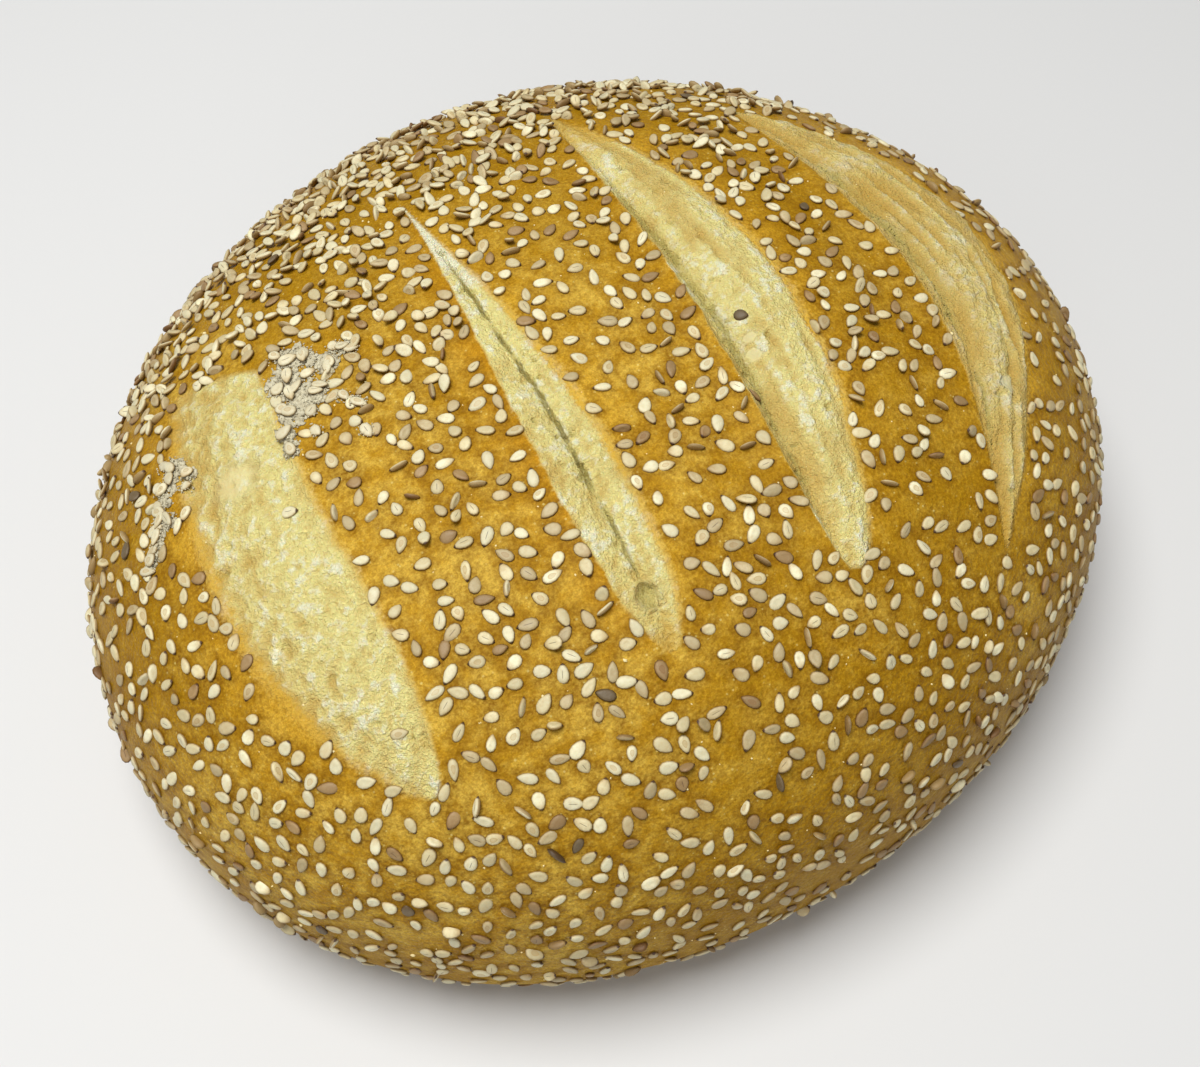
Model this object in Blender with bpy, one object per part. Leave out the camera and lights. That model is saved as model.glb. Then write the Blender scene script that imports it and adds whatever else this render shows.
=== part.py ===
"""An oval hearth loaf with four slashes across its domed top.

Sesame seeds and two patches of dried flour flakes are fused to the crust. The loaf is one solid,
in metres, +Z up. It stands on z = 0 with its long way along X, and its slashes run along Y.
"""

import math
import random

import bmesh
import bpy
from mathutils import Matrix, Vector
from mathutils.bvhtree import BVHTree

MM = 0.001

# The loaf: half sizes of its plan, its height and the height at which it is widest
HALF_LENGTH = 105.5 * MM
HALF_WIDTH = 93.2 * MM
HEIGHT = 83.0 * MM
WIDEST_HEIGHT = 23.6 * MM
PLAN_CENTRE = Vector((-2.6 * MM, -3.3 * MM, 0.0))

# How the hand-shaped plan departs from an ellipse, as shares of its radius
EGG_ALONG = 0.026
EGG_ACROSS = 0.0235
SKEW = 0.023
THREE_SIDED = -0.0107

# The dome is a superellipse. Its lower part would end UNDERCUT widest heights below the widest
# ring, and the oven floor cuts it off before that, with a small round at the edge.
DOME_FULLNESS = 2.55
UNDERCUT = 1.35
BASE_ROUND = 3.0 * MM

# Relief moves a point straight away from this spot, low in the loaf
HEART = Vector((0.0, 0.0, -20.0 * MM))

# One row for each slash, in millimetres from the loaf's own centre. head and foot are its ends,
# bow is how far its middle leans towards +X, half_width is its widest half, and fullness and lean
# shape its taper. Its crumb lies recess below the crust and drops by a further depth at its
# crease, whose place across it runs from 0 at -X to 1 at +X. A crease at 0.5 is an even valley, and
# any other has a steep wall at -X and a bank of crumb at +X. swell is how far the crumb bulges
# back, and ear is the rise of the -X lip.
SLASHES = (
    {"head": (-61.0, 37.0), "foot": (-59.0, -56.0), "bow": -5.7, "half_width": 10.3,
     "fullness": 0.50, "lean": 1.05, "recess": 1.8, "depth": 1.6, "crease": 0.16, "swell": 0.9,
     "ear": 0.5},
    {"head": (-15.0, 49.0), "foot": (-15.2, -55.0), "bow": 1.4, "half_width": 5.2,
     "fullness": 0.55, "lean": 1.80, "recess": 0.6, "depth": 4.0, "crease": 0.50, "swell": 0.5,
     "ear": 0.8},
    {"head": (22.0, 60.0), "foot": (19.5, -56.0), "bow": 7.6, "half_width": 8.8,
     "fullness": 0.60, "lean": 1.20, "recess": 0.4, "depth": 4.0, "crease": 0.18, "swell": 1.6,
     "ear": 1.1},
    {"head": (62.0, 38.0), "foot": (48.0, -63.0), "bow": 17.0, "half_width": 11.2,
     "fullness": 0.85, "lean": 0.75, "recess": 0.4, "depth": 3.8, "crease": 0.22, "swell": 2.0,
     "ear": 1.0},
)
FAR_LIP = 0.3
LIP_WIDTH = 3.0
WALL_SHARPNESS = 6
BANK_POWER = 2.0

# The bare loaf is shaped from a fine ball and then thinned out to this share of its triangles.
# Points of the ball this near an edge or a crease of a slash, in millimetres, move onto it.
FINE_SUBDIVISIONS = 8
SNAP_REACH = 0.35
WELD_REACH = 0.1 * MM
CORE_SHARE = 0.0092

# Sesame seeds, laid along a spiral that spaces them evenly over the dome
SEED_LENGTH = 3.8 * MM
SEED_WIDTH = 2.6 * MM
SEED_THICKNESS = 1.9 * MM
SEED_SUNK = 0.2 * MM
SEED_POINT = 0.55
SEED_PLACES = 518
SEED_JITTER = 0.04
SEED_LOWEST = 9.0 * MM
SEED_CLEARANCE = 2.4 * MM
GOLDEN_ANGLE = math.pi * (3.0 - math.sqrt(5.0))
RANDOM_SEED = 7

# Flour patches, in millimetres from the loaf's own centre. heading is the way of the long side.
FLOUR_PATCHES = (
    {"middle": (-47.5, 17.0), "half_length": 11.5, "half_width": 4.2, "heading": 63.0, "flakes": 13},
    {"middle": (-77.5, 13.0), "half_length": 8.5, "half_width": 1.3, "heading": 59.0, "flakes": 6},
)
FLAKE_LENGTH = 7.5 * MM
FLAKE_WIDTH = 5.4 * MM
FLAKE_THICKNESS = 2.4 * MM
FLAKE_SUNK = 0.3 * MM

CRUST_COLOUR = (0.52, 0.27, 0.06, 1.0)
CRUST_ROUGHNESS = 0.5


def clear_scene():
    for obj in list(bpy.data.objects):
        bpy.data.objects.remove(obj)


def plan_radius(angle):
    """The loaf's radius in plan where it is widest, at an angle from +X."""
    ellipse = 1.0 / math.hypot(math.cos(angle) / HALF_LENGTH, math.sin(angle) / HALF_WIDTH)
    shaping = (
        EGG_ALONG * math.cos(angle)
        + EGG_ACROSS * math.sin(angle)
        + SKEW * math.sin(2 * angle)
        + THREE_SIDED * math.sin(3 * angle)
    )
    return ellipse * (1.0 + shaping)


def soft_floor(z):
    """z, held above the oven floor with a small round where the side meets it."""
    near = max(BASE_ROUND - abs(z), 0.0) / BASE_ROUND
    return max(z, 0.0) + near * near * BASE_ROUND / 4


def dome_point(direction):
    """The point of the smooth loaf in a direction, from the loaf's own centre."""
    across = math.hypot(direction.x, direction.y)
    length = (across**DOME_FULLNESS + abs(direction.z) ** DOME_FULLNESS) ** (1 / DOME_FULLNESS)
    angle = math.atan2(direction.y, direction.x)
    radius = plan_radius(angle) * across / length
    if direction.z > 0:
        z = WIDEST_HEIGHT + (HEIGHT - WIDEST_HEIGHT) * direction.z / length
    else:
        z = soft_floor(WIDEST_HEIGHT * (1 + UNDERCUT * direction.z / length))
    return Vector((radius * math.cos(angle), radius * math.sin(angle), z))


def dome_height(x, y):
    """The height of the smooth loaf's upper part over a plan point."""
    share = min(math.hypot(x, y) / plan_radius(math.atan2(y, x)), 1.0)
    return WIDEST_HEIGHT + (HEIGHT - WIDEST_HEIGHT) * (1 - share**DOME_FULLNESS) ** (1 / DOME_FULLNESS)


def place_in_slash(slash, x, y):
    """A plan point's share of the slash's length, its offset from the middle line, and the half width there."""
    (head_x, head_y), (foot_x, foot_y) = slash["head"], slash["foot"]
    along = (head_y - y) / (head_y - foot_y)
    inside = min(max(along, 0.0), 1.0)
    middle = head_x + (foot_x - head_x) * inside + slash["bow"] * math.sin(math.pi * inside)
    taper = max(math.sin(math.pi * inside ** slash["lean"]), 0.0) ** slash["fullness"]
    return along, x - middle, slash["half_width"] * taper


def slash_relief(slash, x, y):
    """How far a slash moves the surface at a plan point, in millimetres: down in it, up at its lips."""
    along, offset, half_width = place_in_slash(slash, x, y)
    if not 0.0 < along < 1.0 or half_width <= 0.0:
        return 0.0
    opening = half_width / slash["half_width"]
    across = min(max((offset / half_width + 1) / 2, 0.0), 1.0)
    beyond = max(abs(offset) - half_width, 0.0)
    lip = (slash["ear"] * (1 - across) + FAR_LIP * across) * math.exp(-((beyond / LIP_WIDTH) ** 2))
    if slash["crease"] == 0.5:
        bank = (1 - abs(2 * across - 1)) ** BANK_POWER
    elif across < slash["crease"]:
        bank = math.sin(math.pi / 2 * across / slash["crease"])
    else:
        bank = ((1 - across) / (1 - slash["crease"])) ** BANK_POWER
    sides = 1 - abs(2 * across - 1) ** WALL_SHARPNESS
    swell = slash["swell"] * math.sin(math.pi * across)
    return opening * (lip + swell - slash["recess"] * sides - slash["depth"] * bank)


def snapped(x, y):
    """x, moved onto an edge or the crease of a slash that is very near, to keep those lines clean."""
    for slash in SLASHES:
        along, offset, half_width = place_in_slash(slash, x, y)
        if not 0.0 < along < 1.0:
            continue
        for line in (-half_width, (2 * slash["crease"] - 1) * half_width, half_width):
            if abs(offset - line) < SNAP_REACH:
                return x + line - offset
    return x


def add_relief(point):
    """A point of the dome's upper part, moved by the slashes."""
    if point.z <= WIDEST_HEIGHT * 1.2:
        return point
    y = point.y / MM
    x = snapped(point.x / MM, y)
    point = Vector((x * MM, point.y, dome_height(x * MM, point.y)))
    rise = sum(slash_relief(slash, x, y) for slash in SLASHES) * MM
    return point + (point - HEART).normalized() * rise


def crust_material():
    material = bpy.data.materials.new("golden_crust")
    material.use_nodes = True
    shader = material.node_tree.nodes["Principled BSDF"]
    shader.inputs["Base Color"].default_value = CRUST_COLOUR
    shader.inputs["Roughness"].default_value = CRUST_ROUGHNESS
    shader.inputs["Metallic"].default_value = 0.0
    return material


def mesh_object(name, shape, collection):
    mesh = bpy.data.meshes.new(name)
    shape.to_mesh(mesh)
    shape.free()
    made = bpy.data.objects.new(name, mesh)
    collection.objects.link(made)
    return made


def apply_modifiers(obj):
    """The object's mesh with its modifiers worked into it."""
    graph = bpy.context.evaluated_depsgraph_get()
    baked = bpy.data.meshes.new_from_object(obj.evaluated_get(graph))
    obj.modifiers.clear()
    obj.data = baked


def make_core(collection):
    """The bare loaf: a ball pushed out to the dome, with the slashes' relief, then thinned out."""
    ball = bmesh.new()
    bmesh.ops.create_icosphere(ball, subdivisions=FINE_SUBDIVISIONS, radius=1.0)
    for vertex in ball.verts:
        vertex.co = add_relief(dome_point(vertex.co.normalized())) + PLAN_CENTRE
    core = mesh_object("loaf", ball, collection)
    weld = core.modifiers.new("Weld", "WELD")
    weld.merge_threshold = WELD_REACH
    thin = core.modifiers.new("Thin", "DECIMATE")
    thin.ratio = CORE_SHARE
    apply_modifiers(core)
    return core


def surface_of(core):
    """A tree to find the loaf's surface with."""
    shape = bmesh.new()
    shape.from_mesh(core.data)
    tree = BVHTree.FromBMesh(shape)
    shape.free()
    return tree


def touch_down(tree, direction):
    """(place, outward normal) where a ray from outside, aimed at the loaf's middle, meets its surface."""
    middle = PLAN_CENTRE + Vector((0.0, 0.0, WIDEST_HEIGHT))
    far = middle + direction * 4 * HALF_LENGTH
    place, normal, _, _ = tree.ray_cast(far, -direction)
    return place, normal


def lying_on(place, normal, heading, sunk):
    """The matrix that lays a piece along X on the surface, turned by heading about the normal."""
    turn = normal.to_track_quat("Z", "Y").to_matrix() @ Matrix.Rotation(heading, 3, "Z")
    return Matrix.Translation(place - normal * sunk) @ turn.to_4x4()


def add_topping(name, size, matrix, point, collection):
    """A flattened pebble of 20 faces, length along X, whose +X end is drawn in to a point."""
    pebble = bmesh.new()
    bmesh.ops.create_icosphere(pebble, subdivisions=1, radius=0.5)
    for vertex in pebble.verts:
        x, y, z = vertex.co.z, vertex.co.x, vertex.co.y
        slim = 1.0 - point * max(x, 0.0)
        vertex.co = matrix @ Vector((x * size[0], y * size[1] * slim, z * size[2]))
    bmesh.ops.recalc_face_normals(pebble, faces=pebble.faces)
    return mesh_object(name, pebble, collection)


def on_bare_crust(x, y):
    """True where no slash comes within a seed's clearance of a plan point."""
    for slash in SLASHES:
        along, offset, half_width = place_in_slash(slash, x, y)
        if -0.02 < along < 1.02 and abs(offset) < half_width + SEED_CLEARANCE / MM:
            return False
    return True


def in_flour_patch(patch, x, y, margin):
    heading = math.radians(patch["heading"])
    dx, dy = x - patch["middle"][0], y - patch["middle"][1]
    along = dx * math.cos(heading) + dy * math.sin(heading)
    across = dy * math.cos(heading) - dx * math.sin(heading)
    reach, breadth = patch["half_length"] + margin, patch["half_width"] + margin
    return math.hypot(along / reach, across / breadth) < 1


def add_seeds(tree, chance, collection):
    """Seeds along a golden-angle spiral over the dome, left out in the slashes and the flour."""
    for i in range(SEED_PLACES):
        z = 1.0 - 2.0 * (i + 0.5) / SEED_PLACES
        angle = i * GOLDEN_ANGLE + chance.uniform(-SEED_JITTER, SEED_JITTER)
        ring = math.sqrt(1.0 - z * z)
        direction = Vector((ring * math.cos(angle), ring * math.sin(angle), z))
        heading = chance.uniform(0.0, 2 * math.pi)
        growth = chance.uniform(0.92, 1.1)
        place, normal = touch_down(tree, direction)
        x, y = (place.x - PLAN_CENTRE.x) / MM, (place.y - PLAN_CENTRE.y) / MM
        if place.z < SEED_LOWEST or (place.z > WIDEST_HEIGHT and not on_bare_crust(x, y)):
            continue
        if any(in_flour_patch(patch, x, y, 3.0) for patch in FLOUR_PATCHES):
            continue
        size = (SEED_LENGTH * growth, SEED_WIDTH * growth, SEED_THICKNESS)
        add_topping("seed", size, lying_on(place, normal, heading, SEED_SUNK), SEED_POINT, collection)


def add_flour(tree, chance, collection):
    """Flakes of dried flour that overlap in each patch, spaced evenly along its length."""
    for patch in FLOUR_PATCHES:
        heading = math.radians(patch["heading"])
        for i in range(patch["flakes"]):
            along = (2 * (i + 0.5) / patch["flakes"] - 1) * patch["half_length"]
            across = chance.uniform(-1.0, 1.0) * patch["half_width"]
            x = patch["middle"][0] + along * math.cos(heading) - across * math.sin(heading)
            y = patch["middle"][1] + along * math.sin(heading) + across * math.cos(heading)
            above = Vector((x * MM, y * MM, 2 * HEIGHT)) + PLAN_CENTRE
            place, normal, _, _ = tree.ray_cast(above, Vector((0.0, 0.0, -1.0)))
            size = (FLAKE_LENGTH * chance.uniform(0.7, 1.1), FLAKE_WIDTH, FLAKE_THICKNESS)
            matrix = lying_on(place, normal, chance.uniform(0.0, 2 * math.pi), FLAKE_SUNK)
            add_topping("flake", size, matrix, 0.3, collection)


def fuse(core, toppings):
    """Joins the toppings to the core in one Boolean union, then removes them."""
    union = core.modifiers.new("Fuse", "BOOLEAN")
    union.operation = "UNION"
    union.operand_type = "COLLECTION"
    union.collection = toppings
    union.solver = "EXACT"
    apply_modifiers(core)
    for obj in list(toppings.objects):
        bpy.data.objects.remove(obj)
    bpy.data.collections.remove(toppings)


def make_loaf():
    bread = bpy.data.collections.new("seeded_loaf")
    toppings = bpy.data.collections.new("toppings")
    for collection in (bread, toppings):
        bpy.context.scene.collection.children.link(collection)
    chance = random.Random(RANDOM_SEED)
    core = make_core(bread)
    tree = surface_of(core)
    add_flour(tree, chance, toppings)
    add_seeds(tree, chance, toppings)
    fuse(core, toppings)
    core.data.materials.clear()
    core.data.materials.append(crust_material())
    core.data.shade_smooth()
    core.data.set_sharp_from_angle(angle=math.radians(22))


clear_scene()
make_loaf()
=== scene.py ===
"""An oval hearth loaf with four slashes: crust and crumb, sesame seeds, dried flour and stray crumbs.

Each piece has its own operator, with the sizes and colours that matter in its settings, and one
more operator sets up a pale studio floor, soft light and a camera. Lengths are in metres, and a
plan point is in millimetres from the loaf's own centre where a function says so.
"""

import math
import random

import bmesh
import bpy
import numpy as np
from bpy.props import FloatProperty, FloatVectorProperty, IntProperty, PointerProperty
from mathutils import Matrix, Vector, noise
from mathutils.kdtree import KDTree


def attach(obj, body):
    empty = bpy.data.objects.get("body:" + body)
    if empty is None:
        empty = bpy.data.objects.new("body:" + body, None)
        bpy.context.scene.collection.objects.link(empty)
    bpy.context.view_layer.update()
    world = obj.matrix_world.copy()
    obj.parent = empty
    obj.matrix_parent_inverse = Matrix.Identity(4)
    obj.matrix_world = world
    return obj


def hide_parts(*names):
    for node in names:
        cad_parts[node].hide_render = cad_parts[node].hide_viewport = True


bl_info = {
    "name": "Seeded hearth loaf",
    "version": (1, 0, 0),
    "blender": (4, 5, 0),
    "location": "3D View > Sidebar > Loaf",
    "description": "Bakes an oval loaf with slashes, sesame seeds and dried flour",
    "category": "Add Mesh",
}

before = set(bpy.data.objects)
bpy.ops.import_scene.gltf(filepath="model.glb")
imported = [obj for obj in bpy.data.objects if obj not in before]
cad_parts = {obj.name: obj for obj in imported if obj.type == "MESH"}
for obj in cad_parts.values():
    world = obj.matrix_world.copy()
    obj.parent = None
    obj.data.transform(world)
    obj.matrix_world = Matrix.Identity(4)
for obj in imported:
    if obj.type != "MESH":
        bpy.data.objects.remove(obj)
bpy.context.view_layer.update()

MM = 0.001

# The loaf's plan stands a little off the middle of its bounding box
PLAN_CENTRE = Vector((-2.6 * MM, -3.3 * MM, 0.0))

# How the hand-shaped plan departs from an ellipse, as shares of its radius
EGG_ALONG = 0.026
EGG_ACROSS = 0.0235
SKEW = 0.023
THREE_SIDED = -0.0107

# The dome is a superellipse, cut off by the oven floor with a small round at the edge
DOME_FULLNESS = 2.55
UNDERCUT = 1.35
BASE_ROUND = 3.0 * MM
HEART = Vector((0.0, 0.0, -20.0 * MM))

# One row for each slash, in millimetres from the loaf's own centre. head and foot are its ends,
# bow is how far its middle leans towards +X, lean shifts its widest place and fullness is how
# pointed it is, at the head and at the foot. Its crumb lies recess below the crust and drops by
# depth at its crease, whose place across runs from 0 at -X to 1 at +X. swell is the bulge of the
# crumb and ear the rise of the -X lip. ridges and tufts are the heights of the lengthwise strands
# and of the cottony grain, and crack is the depth of the split along the crease. gold tints the
# crumb: all over, more to -X and more to the head. The shade value is painted shade that dims the
# bank at -X. dull is the share of the length, at the head and at the foot, over which the crumb
# fades out. toast browns the crust beside it, glow tints it a light orange and fade is the width
# over which crumb turns to crust, each at -X and at +X. skew slants the head's blunt end. strip is
# how golden the quarter at +X is, which a groove, darkened with painted shade, sets off.
SLASHES = (
    {"head": (-60.6, 31.5), "foot": (-58.6, -56.5), "bow": -5.7, "half_width": 10.4,
     "fullness": (0.12, 0.62), "lean": 1.05, "recess": 0.8, "depth": 0.4, "crease": 0.16,
     "swell": 0.9, "ear": 0.3, "ridges": 0.16, "tufts": 0.33, "crack": 0.0,
     "gold": (0.14, 0.52, 0.25), "shade": 0.0, "dull": (0.02, 0.02), "toast": (0.55, 0.1),
     "glow": (0.65, 0.3), "fade": (6.5, 4.0), "skew": 0.54, "strip": 0.0},
    {"head": (-15.0, 50.0), "foot": (-15.2, -56.0), "bow": 1.4, "half_width": 5.9,
     "fullness": (0.66, 0.42), "lean": 1.95, "recess": 0.5, "depth": 1.9, "crease": 0.50,
     "swell": 0.9, "ear": 0.8, "ridges": 0.12, "tufts": 0.22, "crack": 1.8,
     "gold": (0.30, 0.20, -2.2), "shade": 0.45, "dull": (0.02, 0.10), "toast": (0.95, 0.25),
     "glow": (0.1, 0.9), "fade": (0.7, 6.0), "skew": 0.0, "strip": 0.0},
    {"head": (22.0, 60.0), "foot": (19.5, -57.0), "bow": 7.6, "half_width": 8.8,
     "fullness": (0.66, 0.45), "lean": 1.12, "recess": 0.4, "depth": 3.2, "crease": 0.18,
     "swell": 1.7, "ear": 0.9, "ridges": 0.36, "tufts": 0.20, "crack": 0.8,
     "gold": (0.30, 0.25, 0.20), "shade": 0.15, "dull": (0.24, 0.02), "toast": (0.3, 0.5),
     "glow": (0.1, 1.0), "fade": (0.8, 5.5), "skew": 0.0, "strip": 0.0},
    {"head": (57.0, 46.0), "foot": (48.0, -63.0), "bow": 19.9, "half_width": 11.2,
     "fullness": (1.15, 0.85), "lean": 0.80, "recess": 0.4, "depth": 3.0, "crease": 0.22,
     "swell": 2.0, "ear": 0.8, "ridges": 1.15, "tufts": 0.16, "crack": 0.6,
     "gold": (0.62, 0.55, 0.22), "shade": 0.12, "dull": (0.02, 0.14), "toast": (0.2, 0.2),
     "glow": (0.1, 1.1), "fade": (0.9, 3.4), "skew": 0.0, "strip": 0.35},
)

# The same for all slashes: the rise of the +X lip, how far the lips reach beyond the edges and how
# far beside a slash the crust changes colour, in millimetres. WALL_SHARPNESS is how upright the
# edges stand and BANK_POWER how steeply the crumb drops to the crease.
FAR_LIP = 0.3
LIP_WIDTH = 3.0
SIDE_REACH = 14.0
WALL_SHARPNESS = 6
BANK_POWER = 2.0

# Half the width of the crack along a crease, in millimetres
CRACK_WIDTH = 0.26

# The torn edge of the crust wanders by this much over this length, in millimetres
WAVER = 0.45
WAVER_LENGTH = 5.0

# Holes in the crumb: plan point, radius and depth in millimetres
NAMED_HOLES = (
    (-74.1, -6.0, 0.9, 1.2), (-71.0, -2.5, 0.8, 1.0), (-68.2, 20.1, 0.7, 0.8),
    (-70.0, -24.3, 0.9, 0.7), (-74.1, -14.4, 0.5, 0.8), (-15.1, -46.7, 2.1, 1.0),
    (29.3, -30.2, 0.8, 1.2), (32.3, 17.2, 0.7, 0.9), (66.4, -33.4, 1.6, 0.4),
)
SMALL_HOLES = 34

# Blisters of smooth, glassy skin in the crumb: plan point, radius and rise in millimetres
BLISTERS = (
    (-65.2, 7.6, 4.4, 0.15), (23.6, -15.4, 1.5, 0.25), (24.9, -12.0, 1.2, 0.2),
    (65.0, -36.3, 1.8, 0.25), (30.0, -22.0, 1.0, 0.15), (-15.1, -46.7, 2.6, 0.1),
)

# The raised rim of a burst bubble: plan point, radius and rise in millimetres
RINGS = ((-15.2, -46.6, 2.3, 0.7), (65.2, -36.3, 1.5, 0.25), (-65.4, 7.4, 3.4, 0.12))

# The back of the loaf begins and is full at these places along Y, in millimetres
BACK = (-10.0, 55.0)

# Stretched, paler crust: plan point and radius in millimetres, and how much less it baked
PALE_SPOTS = ((-27.0, -60.0, 15.0, 0.4), (-16.0, -60.0, 6.0, 0.4), (-50.0, -75.0, 20.0, 0.35),
              (15.0, -64.0, 7.0, 0.5), (48.0, -70.0, 7.0, 0.5), (-62.0, 42.0, 14.0, 0.6))

# The crust browns, and glows a light orange, over about these distances from a slash, in millimetres
TOAST_WIDTH = 5.6
GLOW_WIDTH = 5.5

# How dark the crust is low on its sides, towards the front right, at the back and at the far
# left, and by how much that varies from place to place, as shares. Low on the sides, towards the
# front right and at the far left this is partly baking and partly painted shade.
LOW_SHADE_AND_BAKE = 0.75
RIGHT_SHADE_AND_BAKE = 0.72
BAKED_BACK = 0.88
LEFT_SHADE_AND_BAKE = 0.9
BAKED_PATCHES = 0.22

# Dried flour: plan point and radius of each blot, in millimetres
FLOUR_BLOTS = (
    (-47.1, 25.6, 3.0), (-45.0, 23.6, 1.8), (-42.3, 20.4, 2.2), (-50.6, 21.3, 3.2), (-49.2, 17.2, 3.4),
    (-47.2, 14.6, 2.6), (-51.4, 13.3, 2.7), (-53.9, 10.6, 1.9), (-54.6, 6.9, 1.5), (-38.4, 21.4, 1.3),
    (-73.5, 19.0, 1.9), (-74.6, 17.4, 1.7), (-76.3, 15.6, 1.6), (-77.9, 13.6, 1.5), (-79.4, 11.4, 1.4),
    (-78.4, 9.8, 1.6), (-81.1, 8.2, 1.3), (-83.4, 5.6, 1.3), (-71.6, 16.0, 1.1),
)

# Seeds that lie in or by the flour, and single seeds in the slashes: plan point and heading
FLOURY_SEEDS = (
    (-44.9, 24.2, 20), (-49.4, 27.3, 70), (-46.0, 20.0, 110), (-50.4, 17.6, 30), (-45.2, 15.8, 80),
    (-48.6, 12.0, 140), (-52.8, 15.0, 60), (-42.6, 18.6, 10), (-39.9, 22.6, 50), (-37.4, 20.4, 100),
    (-42.6, 11.4, 40), (-41.0, 8.6, 55), (-42.2, 2.4, 15), (-49.6, 7.6, 30), (-51.8, 19.8, 160),
    (-74.6, 20.6, 65), (-77.0, 17.0, 70), (-78.6, 12.6, 55), (-80.6, 10.2, 95), (-82.4, 7.0, 120),
    (-84.6, 4.4, 60), (-72.8, 13.6, 75),
)
STRAY_SEEDS = (
    (-59.6, -3.8, 100, "ivory"), (-59.5, -45.9, 20, "cream"),
    (25.8, -7.4, 50, "dark"), (19.6, -22.3, 60, "brown"),
)

# Kinds of seed: name, share of all seeds, share with a dark tip, share with a marked middle
SEED_KINDS = (
    ("ivory", 0.39, 0.7, 0.35), ("cream", 0.34, 0.7, 0.4), ("tan", 0.19, 0.6, 0.3),
    ("brown", 0.075, 0.5, 0.2), ("dark", 0.005, 0.2, 0.0),
)

# By how much each kind's share grows towards the front right, where the seeds are browner
TANNER = (-0.35, 0.0, 0.5, 0.4, 0.0)

# Where the seeds lie thicker or thinner: plan point, reach along X and Y in millimetres, and share
SEED_PATCHES = (
    (-10.0, -10.0, 40.0, 40.0, 0.10), (3.0, 5.0, 12.0, 40.0, -0.22), (43.0, 5.0, 12.0, 35.0, 0.25),
)

# More places are tried than are wanted, because many fall too near one another
CROWDING = 2.6

# Seeds nearer than this to another one lie tilted on it
TILT_REACH = 2.6 * MM


def colour_setting(name, description, value):
    """A colour for the sidebar."""
    return FloatVectorProperty(
        name=name, description=description, default=value, size=3, min=0.0, max=1.0, subtype="COLOR")


def length_setting(name, description, value, least):
    """A length for the sidebar."""
    return FloatProperty(name=name, description=description, default=value, min=least, unit="LENGTH")


class CrustSettings(bpy.types.PropertyGroup):
    """Sizes and colours of the bread itself"""

    half_length: length_setting(
        "Half Length", "Half of the loaf along its long way", 105.5 * MM, 20 * MM)
    half_width: length_setting("Half Width", "Half of the loaf across", 93.2 * MM, 20 * MM)
    height: length_setting("Height", "Height of the smooth dome", 83.0 * MM, 20 * MM)
    widest_height: length_setting(
        "Widest Height", "Height at which the loaf is widest", 23.6 * MM, 5 * MM)
    golden: colour_setting("Golden", "Crust on top of the loaf", (0.735, 0.485, 0.072))
    amber: colour_setting("Amber", "Mottling of the crust", (0.505, 0.272, 0.014))
    # Crust darkened by baking, and also painted shade low on the sides, towards the front right and at the
    # far left
    baked: colour_setting("Baked", "Crust that baked darker", (0.39, 0.207, 0.004))
    toasted: colour_setting("Toasted", "Crust beside the slashes", (0.50, 0.225, 0.003))
    # Scorched serves the crust's dark grain, and also the painted shadow and scorch beside the seeds and
    # the painted shade in the pores
    scorched_and_shade: colour_setting(
        "Scorched", "Grain of the crust, and crust against the seeds", (0.19, 0.08, 0.002))
    underside: colour_setting("Underside", "Crust that baked on the oven floor", (0.30, 0.14, 0.04))
    edge: colour_setting("Golden Edge", "Where crumb turns to crust", (0.72, 0.415, 0.03))
    crumb: colour_setting("Crumb", "Pale crumb in the slashes", (0.90, 0.80, 0.315))
    # Crumb Tufts is partly painted highlight, laid on the tops of the strands
    crumb_white: colour_setting("Crumb Tufts", "Whitest strands of the crumb", (0.95, 0.93, 0.65))
    crumb_gold: colour_setting("Golden Crumb", "Crumb that has begun to brown", (0.67, 0.455, 0.12))
    crumb_glassy: colour_setting(
        "Glassy Crumb", "Thin, shiny skin over a bubble", (0.54, 0.50, 0.29))
    # Deep Crumb is painted shade: crumb darkened down in the creases, holes, cracks and grooves of the
    # slashes, in its pits and on the shaded bank
    crumb_shade: colour_setting("Deep Crumb", "Crumb down in a crease", (0.50, 0.42, 0.13))


class SeedSettings(bpy.types.PropertyGroup):
    """Size, number and colours of the sesame seeds"""

    length: length_setting("Length", "Length of a seed", 3.4 * MM, 0.5 * MM)
    width: length_setting("Width", "Width of a seed", 2.12 * MM, 0.5 * MM)
    thickness: length_setting("Thickness", "Thickness of a seed", 0.95 * MM, 0.2 * MM)
    sparse: FloatProperty(
        name="Sparse", description="Seeds on a square centimetre at the front", default=6.6, min=0.5)
    dense: FloatProperty(
        name="Dense", description="Seeds on a square centimetre at the back", default=11.4, min=0.5)
    ivory: colour_setting("Ivory", "Palest seeds", (0.73, 0.67, 0.43))
    cream: colour_setting("Cream", "Cream seeds", (0.64, 0.55, 0.31))
    tan: colour_setting("Tan", "Tan seeds", (0.50, 0.40, 0.21))
    brown: colour_setting("Brown", "Toasted seeds", (0.33, 0.21, 0.085))
    dark: colour_setting("Dark", "Darkest seeds", (0.15, 0.105, 0.05))
    tip: colour_setting("Tip", "Dark points of the seeds", (0.07, 0.03, 0.015))


class FlourSettings(bpy.types.PropertyGroup):
    """Dried flour and loose crumbs"""

    flour: colour_setting("Flour", "Dried flour", (0.71, 0.66, 0.47))
    # Flour Shade is painted shade: greyer flour meant for between the lumps
    flour_shade: colour_setting("Flour Shade", "Greyer flour between the lumps", (0.52, 0.46, 0.31))
    crumb_colour: colour_setting("Stray Crumbs", "Tiny crumbs on the crust", (0.86, 0.72, 0.36))
    crumb_count: IntProperty(
        name="Stray Crumbs", description="Number of tiny crumbs", default=420, min=0)


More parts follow.
